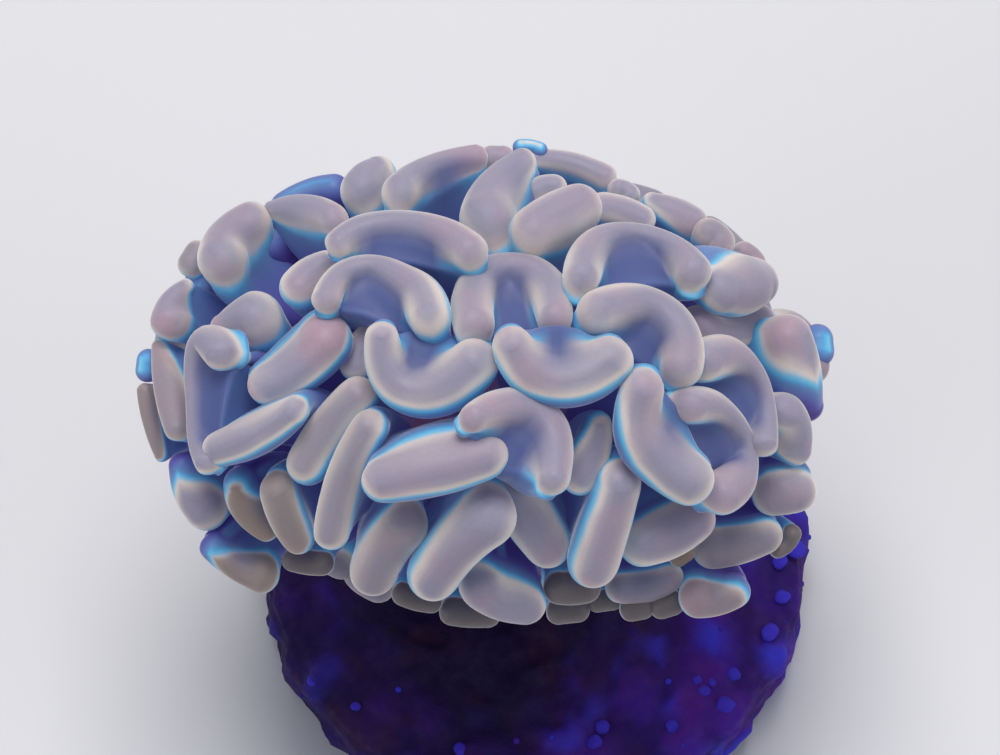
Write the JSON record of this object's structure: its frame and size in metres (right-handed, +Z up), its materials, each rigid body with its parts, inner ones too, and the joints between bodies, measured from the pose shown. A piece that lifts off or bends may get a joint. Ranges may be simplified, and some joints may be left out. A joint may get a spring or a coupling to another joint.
{
  "type": "hammer coral",
  "caption": "Hammer coral frag: a dome of fleshy anchor-shaped tentacles on a short stony stem, fixed to a round disc with purple coralline crust.",
  "frame": {"origin": "middle of the disc's flat underside", "axes": "+Z up through the stem and crown, +X along the crown's long side, the viewer at -Y"},
  "size_m": [0.0351, 0.0288, 0.0404],
  "materials": {
    "crust": "matte",
    "skeleton_stone": "matte",
    "polyp_flesh": "satin",
    "tentacle_flesh": "satin"
  },
  "bodies": {
    "root": {"plug_disc": "crust", "skeleton": "skeleton_stone", "polyp": "polyp_flesh", "tentacle_01": "tentacle_flesh", "tentacle_02": "tentacle_flesh", "tentacle_03": "tentacle_flesh", "tentacle_04": "tentacle_flesh", "tentacle_05": "tentacle_flesh", "tentacle_06": "tentacle_flesh", "tentacle_07": "tentacle_flesh", "tentacle_08": "tentacle_flesh", "tentacle_09": "tentacle_flesh", "tentacle_10": "tentacle_flesh", "tentacle_11": "tentacle_flesh", "tentacle_12": "tentacle_flesh", "tentacle_13": "tentacle_flesh", "tentacle_14": "tentacle_flesh", "tentacle_15": "tentacle_flesh", "tentacle_16": "tentacle_flesh", "tentacle_17": "tentacle_flesh", "tentacle_18": "tentacle_flesh", "tentacle_19": "tentacle_flesh", "tentacle_20": "tentacle_flesh", "tentacle_21": "tentacle_flesh", "tentacle_22": "tentacle_flesh", "tentacle_23": "tentacle_flesh", "tentacle_24": "tentacle_flesh", "tentacle_25": "tentacle_flesh", "tentacle_26": "tentacle_flesh", "tentacle_27": "tentacle_flesh", "tentacle_28": "tentacle_flesh", "tentacle_29": "tentacle_flesh", "tentacle_30": "tentacle_flesh", "tentacle_31": "tentacle_flesh", "tentacle_32": "tentacle_flesh", "tentacle_33": "tentacle_flesh", "tentacle_34": "tentacle_flesh", "tentacle_35": "tentacle_flesh", "tentacle_36": "tentacle_flesh", "tentacle_37": "tentacle_flesh", "tentacle_38": "tentacle_flesh", "tentacle_39": "tentacle_flesh", "tentacle_40": "tentacle_flesh", "tentacle_41": "tentacle_flesh", "tentacle_42": "tentacle_flesh", "tentacle_43": "tentacle_flesh", "tentacle_44": "tentacle_flesh", "tentacle_45": "tentacle_flesh", "tentacle_46": "tentacle_flesh", "tentacle_47": "tentacle_flesh", "tentacle_48": "tentacle_flesh", "tentacle_49": "tentacle_flesh", "tentacle_50": "tentacle_flesh", "tentacle_51": "tentacle_flesh", "tentacle_52": "tentacle_flesh", "tentacle_53": "tentacle_flesh", "tentacle_54": "tentacle_flesh", "tentacle_55": "tentacle_flesh", "tentacle_56": "tentacle_flesh", "tentacle_57": "tentacle_flesh"}
  },
  "joints": []
}
